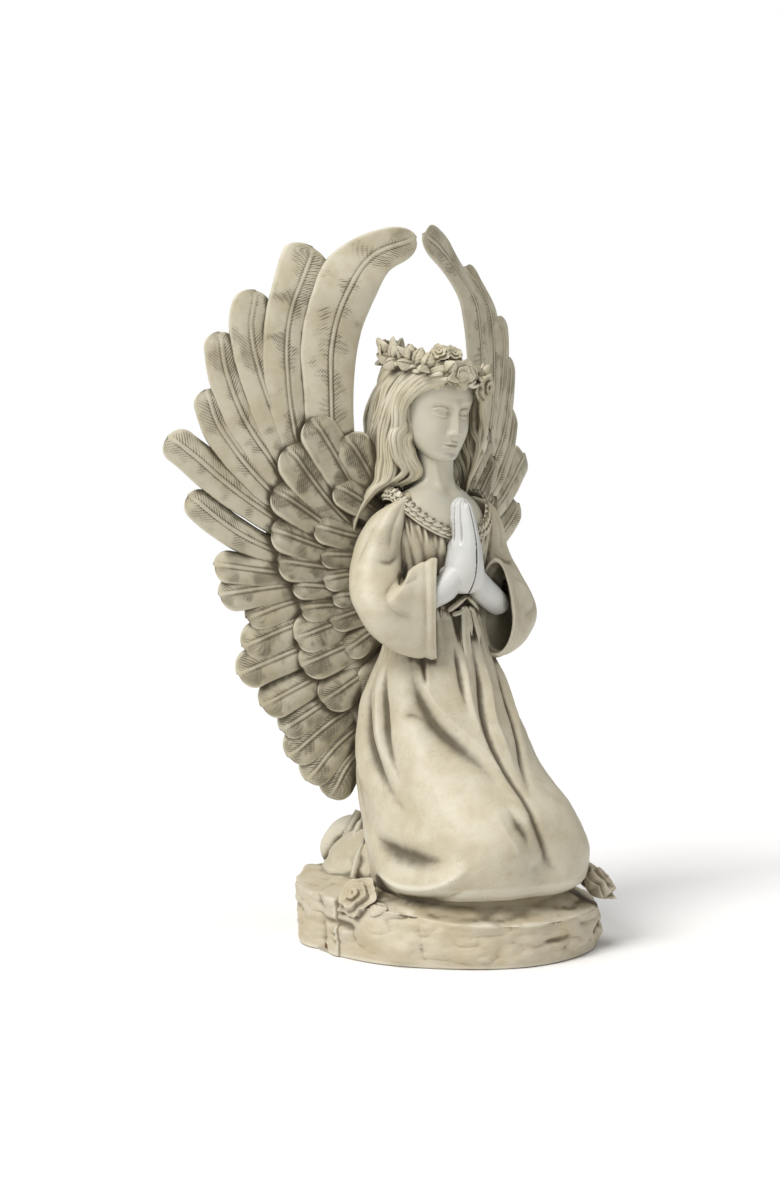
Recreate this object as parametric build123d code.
from build123d import *
import math
import os

os.makedirs("parts", exist_ok=True)

# Kneeling angel statue, cast resin. Millimetres, +Z up, she faces -Y and her left hand is on +X.
# The origin is the centre of the underside of the plinth, on the ground.

# Plinth
plinth_half_width = 113.0
plinth_half_depth = 122.0
plinth_rim_height = 34.0
plinth_top = 48.0
plinth_wall = 8.0
felt_thickness = 2.0
bottom_plate_thickness = 4.0
bottom_plate_inset = 9.0
screw_circle = 84.0
screw_radius = 1.75
screw_head_radius = 3.6
screw_head_height = 2.2
screw_length = 16.0
boss_radius = 6.0

# Robe
skirt_wall = 7.0
waist_height = 254.0
bodice_top = 352.0
torso_y = 15.0

# Skirt sections: height, centre y, half width, half depth
skirt_sections = [
    (plinth_top, -37.0, 91.0, 76.0),
    (70.0, -36.0, 90.0, 75.0),
    (104.0, -20.0, 76.0, 90.0),
    (137.0, 0.0, 70.0, 76.0),
    (181.0, 11.0, 61.0, 56.0),
    (216.0, 15.0, 49.0, 42.0),
    (240.0, 15.0, 41.0, 32.0),
    (waist_height, 15.0, 38.0, 28.0),
]

# Bodice sections: height, half width, half depth
bodice_sections = [
    (waist_height, 37.0, 27.0),
    (275.0, 40.0, 28.0),
    (300.0, 46.0, 29.0),
    (322.0, 50.0, 28.0),
    (338.0, 44.0, 25.0),
    (bodice_top, 27.0, 21.0),
]

# Head and hair
neck_radius = 15.5
neck_bottom = bodice_top
head_centre = (0.0, 6.0, 412.0)
head_half_width = 29.0
head_half_depth = 36.0
head_half_height = 42.0
hair_thickness = 9.0
wreath_height = 438.0
wreath_radius = 41.0
wreath_cord_radius = 4.0
wreath_tilt = 12.0

# Wings: each is a gently cupped fan that leaves the back at an angle
wing_root_y = 30.0
wing_sweep = 24.0
wing_cup_radius = 3000.0
wing_seam_gap = 0.3
flight_half_thickness = 3.5
covert_half_thickness = 6.5
shoulder_half_thickness = 9.0
root_front_thickness = 24.0
wing_pin_radius = 3.0
wing_pin_length = 26.0

# Feathers in the wing's own plane: points (out from the root, height) from quill to tip, then width
primary_feathers = [
    ([(66, 349), (80, 408), (78, 467), (58, 507), (17, 538)], 42),
    ([(76, 344), (106, 393), (112, 447), (106, 493), (90, 532)], 36),
    ([(82, 337), (113, 384), (135, 443), (139, 472), (135, 499)], 31),
    ([(86, 330), (122, 367), (148, 408), (159, 438), (163, 466)], 29),
    ([(88, 322), (127, 349), (151, 376), (167, 400), (174, 422)], 27),
    ([(86, 308), (122, 326), (159, 352), (182, 371), (202, 386)], 26),
    ([(86, 294), (124, 302), (147, 313), (168, 327), (186, 342)], 25),
]
secondary_feathers = [
    ([(74, 282), (119, 284), (166, 289)], 25),
    ([(70, 280), (109, 277), (163, 267)], 26),
    ([(68, 268), (102, 262), (141, 250)], 28),
    ([(64, 253), (98, 245), (143, 227)], 28),
    ([(60, 239), (94, 227), (147, 206)], 26),
    ([(52, 215), (82, 200), (127, 176)], 27),
    ([(50, 199), (78, 184), (114, 162)], 26),
    ([(47, 184), (72, 168), (107, 143)], 27),
    ([(44, 168), (66, 152), (93, 123)], 26),
    ([(42, 152), (60, 135), (75, 110)], 25),
]
middle_coverts = [
    ([(48, 334), (65, 357), (93, 400)], 28),
    ([(30, 325), (40, 347), (65, 388)], 27),
    ([(60, 322), (82, 339), (112, 379)], 27),
    ([(64, 310), (88, 323), (122, 346)], 26),
    ([(64, 298), (89, 304), (124, 317)], 25),
    ([(60, 284), (84, 287), (119, 294)], 24),
    ([(56, 270), (80, 272), (108, 275)], 23),
    ([(52, 257), (74, 260), (101, 257)], 23),
    ([(48, 251), (71, 245), (105, 234)], 24),
    ([(44, 235), (66, 227), (100, 213)], 24),
    ([(38, 211), (56, 200), (84, 186)], 24),
]
wing_shoulder_outline = [
    (18, 345), (40, 350), (64, 340), (74, 314), (76, 285), (72, 258), (60, 232),
    (52, 205), (48, 170), (36, 155), (18, 185),
]
wing_root_outline = [(14, 236), (48, 246), (56, 290), (50, 330), (14, 334)]

stone = Color(0.74, 0.72, 0.64)
white_resin = Color(0.86, 0.86, 0.84)
steel = Color(0.62, 0.63, 0.65)
felt_green = Color(0.16, 0.22, 0.18)
board = Color(0.45, 0.34, 0.22)


def save(shape, node, color):
    shape.label = node
    shape.color = color
    export_step(shape, "parts/" + node + ".step")


def oval(x, y, z, half_width, half_depth):
    """A flat oval face at height z."""
    section = Plane((x, y, z)) * Ellipse(half_width, half_depth)
    return section.face()


def oval_on(centre, normal, across, half_across, half_other):
    """An oval face that looks along normal, with its first axis along across."""
    plane = Plane(origin=centre, x_dir=across, z_dir=normal)
    return (plane * Ellipse(half_across, half_other)).face()


def ellipsoid(centre, half_width, half_depth, half_height):
    ball = Sphere(1.0)
    return Pos(*centre) * scale(ball, by=(half_width, half_depth, half_height))


def rod(start, end, radius):
    """A straight round rod between two points."""
    axis = Vector(*end) - Vector(*start)
    plane = Plane(origin=start, z_dir=axis)
    return extrude(plane * Circle(radius), amount=axis.length)


def skirt_solid(shrink, bottom_extra):
    """The skirt's outer form, or its inside when shrink is the wall."""
    faces = []
    for height, y, half_width, half_depth in skirt_sections:
        faces.append(oval(0, y, height, half_width - shrink, half_depth - shrink))
    body = loft(faces)
    if bottom_extra:
        body = body + extrude(faces[0], amount=-bottom_extra)
    return body


def bodice_solid(shrink):
    faces = []
    for height, half_width, half_depth in bodice_sections:
        faces.append(oval(0, torso_y, height, half_width - shrink, half_depth - shrink))
    return loft(faces)


# ---- Plinth ---------------------------------------------------------------

def plinth_solid(shrink, low, high):
    widest_w = plinth_half_width - shrink
    widest_d = plinth_half_depth - shrink
    rim = min(plinth_rim_height, high - 4.0)
    faces = [
        oval(0, 0, low, widest_w - 3.0, widest_d - 3.0),
        oval(0, 0, 0.5 * (low + rim), widest_w, widest_d),
        oval(0, 0, rim, widest_w - 2.0, widest_d - 2.0),
        oval(0, 0, high, widest_w - 11.0, widest_d - 11.0),
    ]
    return loft(faces)


plinth = plinth_solid(0.0, felt_thickness, plinth_top)
cavity_bottom = felt_thickness + bottom_plate_thickness
cavity = plinth_solid(plinth_wall + 2.0, cavity_bottom, plinth_top - plinth_wall)
plate_outline = oval(0, 0, felt_thickness, plinth_half_width - bottom_plate_inset,
                     plinth_half_depth - bottom_plate_inset)
plate_recess = extrude(plate_outline, amount=bottom_plate_thickness)
plinth = plinth - cavity - plate_recess

screw_places = []
for turn in range(4):
    angle = math.radians(45 + 90 * turn)
    screw_places.append((screw_circle * math.cos(angle), screw_circle * math.sin(angle)))

plate = plate_recess
screws = []
for x, y in screw_places:
    boss_low = felt_thickness + bottom_plate_thickness
    boss = Pos(x, y, boss_low) * Cylinder(boss_radius, plinth_top - plinth_wall + 2.0 - boss_low,
                                          align=(Align.CENTER, Align.CENTER, Align.MIN))
    plinth = plinth + boss
for x, y in screw_places:
    shank = Pos(x, y, felt_thickness) * Cylinder(screw_radius, screw_length,
                                                 align=(Align.CENTER, Align.CENTER, Align.MIN))
    head = Pos(x, y, felt_thickness) * Cylinder(screw_head_radius, screw_head_height,
                                                align=(Align.CENTER, Align.CENTER, Align.MIN))
    screw = shank + head
    slot = Pos(x, y, felt_thickness) * Box(5.0, 1.0, 1.2)
    plinth = plinth - shank
    plate = plate - shank - head
    screws.append(screw - slot)

felt_outline = oval(0, 0, 0, plinth_half_width - 6.0, plinth_half_depth - 6.0)
felt = extrude(felt_outline, amount=felt_thickness)

# ---- Robe -----------------------------------------------------------------

skirt_outer = skirt_solid(0.0, 0.0)
bodice_outer = bodice_solid(0.0)
skirt_inner = skirt_solid(skirt_wall, 2.0)
skirt_cap = Pos(0, 0, waist_height - skirt_wall) * Box(200, 200, 40,
                                                       align=(Align.CENTER, Align.CENTER, Align.MIN))
skirt = skirt_outer - (skirt_inner - skirt_cap)

bodice_inner = bodice_solid(skirt_wall)
bodice_floor = Pos(0, 0, waist_height) * Box(200, 200, skirt_wall,
                                             align=(Align.CENTER, Align.CENTER, Align.MIN))
bodice_roof = Pos(0, 0, bodice_top - skirt_wall) * Box(200, 200, 40,
                                                       align=(Align.CENTER, Align.CENTER, Align.MIN))
bodice = bodice_outer - (bodice_inner - bodice_floor - bodice_roof)

# The robe trails over her lower legs behind the skirt.
train_faces = [
    oval_on((0, 20, plinth_top), (0, 1, 0), (1, 0, 0), 66, 44),
    oval_on((-2, 60, plinth_top), (0, 1, 0), (1, 0, 0), 62, 42),
    oval_on((-4, 90, plinth_top), (0, 1, 0), (1, 0, 0), 50, 38),
    oval_on((-6, 108, plinth_top), (0, 1, 0), (1, 0, 0), 34, 30),
]
below_top = Pos(0, 0, plinth_top) * Box(400, 400, 200, align=(Align.CENTER, Align.CENTER, Align.MAX))
train = loft(train_faces) - below_top - skirt_outer

# Sash round the waist, with its knot and the two tails in front.
sash_half_height = 5.0
sash_outer = extrude(oval(0, torso_y, waist_height - sash_half_height, 43.0, 33.0),
                     amount=2 * sash_half_height)
knot_y = torso_y - 33.0
knot = ellipsoid((2, knot_y + 1.0, waist_height + 3.0), 10.0, 5.0, 7.0)
tails = rod((0, knot_y + 1.0, waist_height), (-3, knot_y - 8.0, waist_height - 42.0), 4.0)
tails = tails + rod((4, knot_y + 1.0, waist_height), (10, knot_y - 8.0, waist_height - 34.0), 4.0)
sash = sash_outer + knot + tails - skirt_outer - bodice_outer

# ---- Head, hair and wreath --------------------------------------------------

neck = Pos(0, 0, neck_bottom) * extrude(Pos(0, torso_y) * Circle(neck_radius), amount=32.0)
head = ellipsoid(head_centre, head_half_width, head_half_depth, head_half_height) + neck

hair_shell = ellipsoid((0, head_centre[1] + 6.0, head_centre[2] + 3.0), head_half_width + hair_thickness,
                       head_half_depth + hair_thickness, head_half_height + 2.0)
face_opening = Pos(0, -62, 396) * Box(120, 100, 76)
hair_back = loft([
    oval(0, 30, 412, 34, 19),
    oval(0, 34, 380, 34, 13),
    oval(0, 38, 350, 30, 11),
])
right_lock = loft([
    oval(-22, 26, 392, 13, 15),
    oval(-33, 28, 365, 13, 13),
    oval(-44, 36, 335, 13, 10),
    oval(-58, 44, 300, 9, 6),
])
left_lock = loft([
    oval(25, 8, 398, 8, 10),
    oval(30, 4, 372, 7, 8),
    oval(33, 6, 352, 5, 6),
])
hair = hair_shell - face_opening + hair_back + right_lock + left_lock

wreath_centre = (0, head_centre[1] + 3.0, wreath_height)
wreath_place = Pos(*wreath_centre) * Rot(wreath_tilt, 0, 0)
wreath_ring = wreath_place * Torus(wreath_radius, wreath_cord_radius)

# Roses and leaves stand round the front half of the wreath: angle, radius, height above the ring
rose_places = [
    (-92.0, 11.0, 2.0),
    (-60.0, 8.5, 3.0),
    (-125.0, 8.5, 6.0),
    (-155.0, 7.5, 5.0),
    (-25.0, 7.5, 3.0),
]
roses = None
for angle, size, lift in rose_places:
    x = (wreath_radius + 3.0) * math.cos(math.radians(angle))
    y = (wreath_radius + 3.0) * math.sin(math.radians(angle))
    rose = wreath_place * (Pos(x, y, lift) * Sphere(size))
    roses = rose if roses is None else roses + rose

leaves = None
for angle in (-178.0, 172.0, 150.0, 120.0, 90.0, 60.0, 30.0, 5.0, -10.0, -42.0):
    x = (wreath_radius + 4.0) * math.cos(math.radians(angle))
    y = (wreath_radius + 4.0) * math.sin(math.radians(angle))
    leaf = wreath_place * (Pos(x, y, 5.0) * Rot(0, 0, angle) * Box(3.0, 13.0, 15.0))
    leaves = leaf if leaves is None else leaves + leaf
leaves = leaves - roses

wreath_band = wreath_ring - head - roses - leaves
hair = hair - head - bodice_outer - wreath_ring - roses - leaves
roses = roses - head
leaves = leaves - head

# ---- Sleeves and hands ------------------------------------------------------

def hem_face(side, shrink):
    """The sleeve's wide mouth, which looks forward and inward at the hands."""
    return oval_on((side * 30, -18, 257), (side * -0.75, -0.66, 0.0), (0, 0, 1), 37 - shrink, 15 - shrink)


def elbow_face(side, shrink):
    return oval_on((side * 62, -4, 257), (side * -0.85, -0.5, 0.0), (0, 0, 1), 28 - shrink, 18 - shrink)


def upper_sleeve(side):
    """The sleeve over the upper arm, from the shoulder to the elbow."""
    shoulder_face = oval_on((side * 45, 17, 338), (side * 0.25, 0, -1), (1, 0, side * 0.25), 16, 17)
    lower_face = oval_on((side * 60, 12, 262), (side * 0.25, 0, -1), (1, 0, side * 0.25), 20, 23)
    return loft([shoulder_face, lower_face])


def hand(side):
    """One praying hand, from inside the sleeve to the fingertips, cut flat at the palm."""
    faces = [
        oval_on((side * 33, -20, 264), (side * -0.9, -0.2, 0.3), (0, 1, 0.2), 8, 7),
        oval_on((side * 18, -24, 270), (side * -0.7, 0, 0.8), (0, 1, 0), 9, 7.5),
        oval_on((side * 8, -25, 288), (side * -0.2, 0, 1), (0, 1, 0), 13, 8.5),
        oval_on((side * 5, -23, 312), (side * -0.1, 0.12, 1), (0, 1, -0.12), 11, 6),
        oval_on((side * 2.5, -18, 341), (0, 0.15, 1), (0, 1, -0.15), 4, 3.5),
    ]
    palm_side = Pos(side * -100, 0, 300) * Box(200, 400, 400)
    return loft(faces) - palm_side


def sleeve(side, hand_solid):
    """Upper sleeve, rounded elbow and the bell-shaped lower sleeve, open at the hem."""
    bell = loft([elbow_face(side, 0.0), hem_face(side, 0.0)])
    elbow = ellipsoid((side * 64, 4, 262), 25.0, 22.5, 27.0)
    mouth = loft([elbow_face(side, 9.0), hem_face(side, 4.0)])
    outer = upper_sleeve(side) + elbow + bell
    return outer - mouth - bodice_outer - skirt_outer - sash - collar - hand_solid


# Ruffled trim of the wide neckline.
collar_ring = Pos(0, 12, 338) * Rot(22, 0, 0) * scale(Torus(1.0, 0.1), by=(39.0, 31.0, 39.0))
right_hand = hand(-1) - bodice_outer
left_hand = hand(1) - bodice_outer
collar = collar_ring - bodice_outer - neck - right_hand - left_hand
right_sleeve = sleeve(-1, right_hand)
left_sleeve = mirror(right_sleeve, about=Plane.YZ)
hair = hair - right_sleeve - left_sleeve - collar

# ---- Wings ------------------------------------------------------------------


def smooth_points(points, count):
    """Evenly spaced points on a smooth line through the given ones, each with its direction."""
    line = Spline([(x, y) for x, y in points])
    placed = []
    for step in range(count):
        u = step / (count - 1)
        spot = line @ u
        way = line % u
        placed.append((spot.X, spot.Y, way.X, way.Y))
    return placed


def feather_outline(points, width):
    """A feather seen flat: narrow at the quill, widest near two thirds, round at the tip."""
    stations = smooth_points(points, 15)
    one_side = []
    other_side = []
    for index, (x, y, way_x, way_y) in enumerate(stations):
        u = index / (len(stations) - 1)
        swell = 0.62 + 0.38 * math.sin(math.pi * min(u / 0.72, 1.0) * 0.5)
        tip = math.sqrt(max(1.0 - max((u - 0.84) / 0.16, 0.0) ** 2, 0.0))
        half = 0.5 * width * swell * max(tip, 0.12)
        one_side.append((x - way_y * half, y + way_x * half))
        other_side.append((x + way_y * half, y - way_x * half))
    outline = one_side + list(reversed(other_side))
    return make_face(Polyline(*outline, close=True))


def right_wing_plane():
    """Local x runs out from the root, local y is up and local z looks backward and outward."""
    sweep = math.radians(wing_sweep)
    out = (-math.cos(sweep), math.sin(sweep), 0)
    back = (math.sin(sweep), math.cos(sweep), 0)
    return Plane(origin=(0, wing_root_y, 0), x_dir=out, z_dir=back)


def cupped_layer(outlines, back, front):
    """Outlines cut out of a curved sheet between two distances from the wing's middle surface."""
    flat = None
    for outline in outlines:
        slab = extrude(outline, amount=120.0, both=True)
        flat = slab if flat is None else flat + slab
    outer = Cylinder(wing_cup_radius + back, 700.0)
    inner = Cylinder(wing_cup_radius - front, 700.0)
    tube = Pos(0, 330, -wing_cup_radius) * Rot(90, 0, 0) * (outer - inner)
    return flat & tube


def wing_in_its_plane():
    flight = [feather_outline(points, width) for points, width in primary_feathers + secondary_feathers]
    coverts = [feather_outline(points, width) for points, width in middle_coverts]
    shoulder = [make_face(Polyline(*wing_shoulder_outline, close=True))]
    layers = cupped_layer(flight, flight_half_thickness, flight_half_thickness)
    layers = layers + cupped_layer(coverts, covert_half_thickness, covert_half_thickness)
    layers = layers + cupped_layer(shoulder, shoulder_half_thickness, shoulder_half_thickness)
    root = [make_face(Polyline(*wing_root_outline, close=True))]
    layers = layers + cupped_layer(root, shoulder_half_thickness, root_front_thickness)
    return layers


flat_wing = wing_in_its_plane()
right_wing = right_wing_plane() * flat_wing
left_half = Pos(200 - wing_seam_gap, 0, 300) * Box(400, 800, 800)
right_wing = right_wing - left_half
left_wing = mirror(right_wing, about=Plane.YZ)

wing_pins = []
for side in (-1, 1):
    for height in (268.0, 318.0):
        inner_end = (side * 20.0, 22.0, height)
        outer_end = (side * 34.0, 22.0 + wing_pin_length, height)
        wing_pins.append(rod(inner_end, outer_end, wing_pin_radius))
all_pins = wing_pins[0] + wing_pins[1] + wing_pins[2] + wing_pins[3]

body_mass = skirt_outer + bodice_outer
right_wing = right_wing - body_mass - train - sash - right_sleeve - collar - hair - all_pins
left_wing = left_wing - body_mass - train - sash - left_sleeve - collar - hair - all_pins
bodice = bodice - all_pins

# ---- Roses on the plinth ----------------------------------------------------

right_rose_centre = (-101.0, -14.0, 49.0)
left_rose_centre = (68.0, -92.0, 50.0)
rose_radius = 15.0


def plinth_rose(centre):
    """A rose head lying on the plinth with its leaf beside it."""
    x, y, z = centre
    bloom = ellipsoid(centre, rose_radius, rose_radius, rose_radius - 2.0)
    leaf = Pos(x, y + 17.0, plinth_top) * Rot(0, 0, 20) * Box(14.0, 20.0, 12.0)
    return bloom + leaf


plinth_outer = plinth_solid(0.0, felt_thickness, plinth_top)
right_rose = plinth_rose(right_rose_centre) - plinth_outer - skirt_outer
left_rose = plinth_rose(left_rose_centre) - plinth_outer - skirt_outer

# ---- Dowels and bolts -------------------------------------------------------

neck_dowel = rod((0, torso_y, bodice_top - 6.0), (0, torso_y, bodice_top + 18.0), 4.0)
waist_dowel = rod((0, torso_y, waist_height - 6.0), (0, torso_y, waist_height + 6.0), 6.0)
bodice = bodice - neck_dowel - waist_dowel
head = head - neck_dowel
skirt = skirt - waist_dowel

save(plinth, "plinth", stone)
save(plate, "bottom_plate", board)
save(Compound(children=screws), "bottom_plate_screws", steel)
save(felt, "felt_pad", felt_green)
save(skirt, "robe_skirt", stone)
save(train, "robe_train", stone)
save(bodice, "robe_bodice", stone)
save(sash, "waist_sash", stone)
save(collar, "collar_ruffle", stone)
save(right_sleeve, "right_sleeve", stone)
save(left_sleeve, "left_sleeve", stone)
save(right_hand, "right_hand", white_resin)
save(left_hand, "left_hand", white_resin)
save(head, "head", stone)
save(hair, "hair", stone)
save(wreath_band, "wreath_band", stone)
save(roses, "wreath_roses", stone)
save(leaves, "wreath_leaves", stone)
save(right_wing, "right_wing", stone)
save(left_wing, "left_wing", stone)
save(Compound(children=wing_pins), "wing_pins", steel)
save(neck_dowel, "neck_dowel", steel)
save(waist_dowel, "waist_dowel", steel)
save(right_rose, "plinth_rose_right", stone)
save(left_rose, "plinth_rose_left", stone)
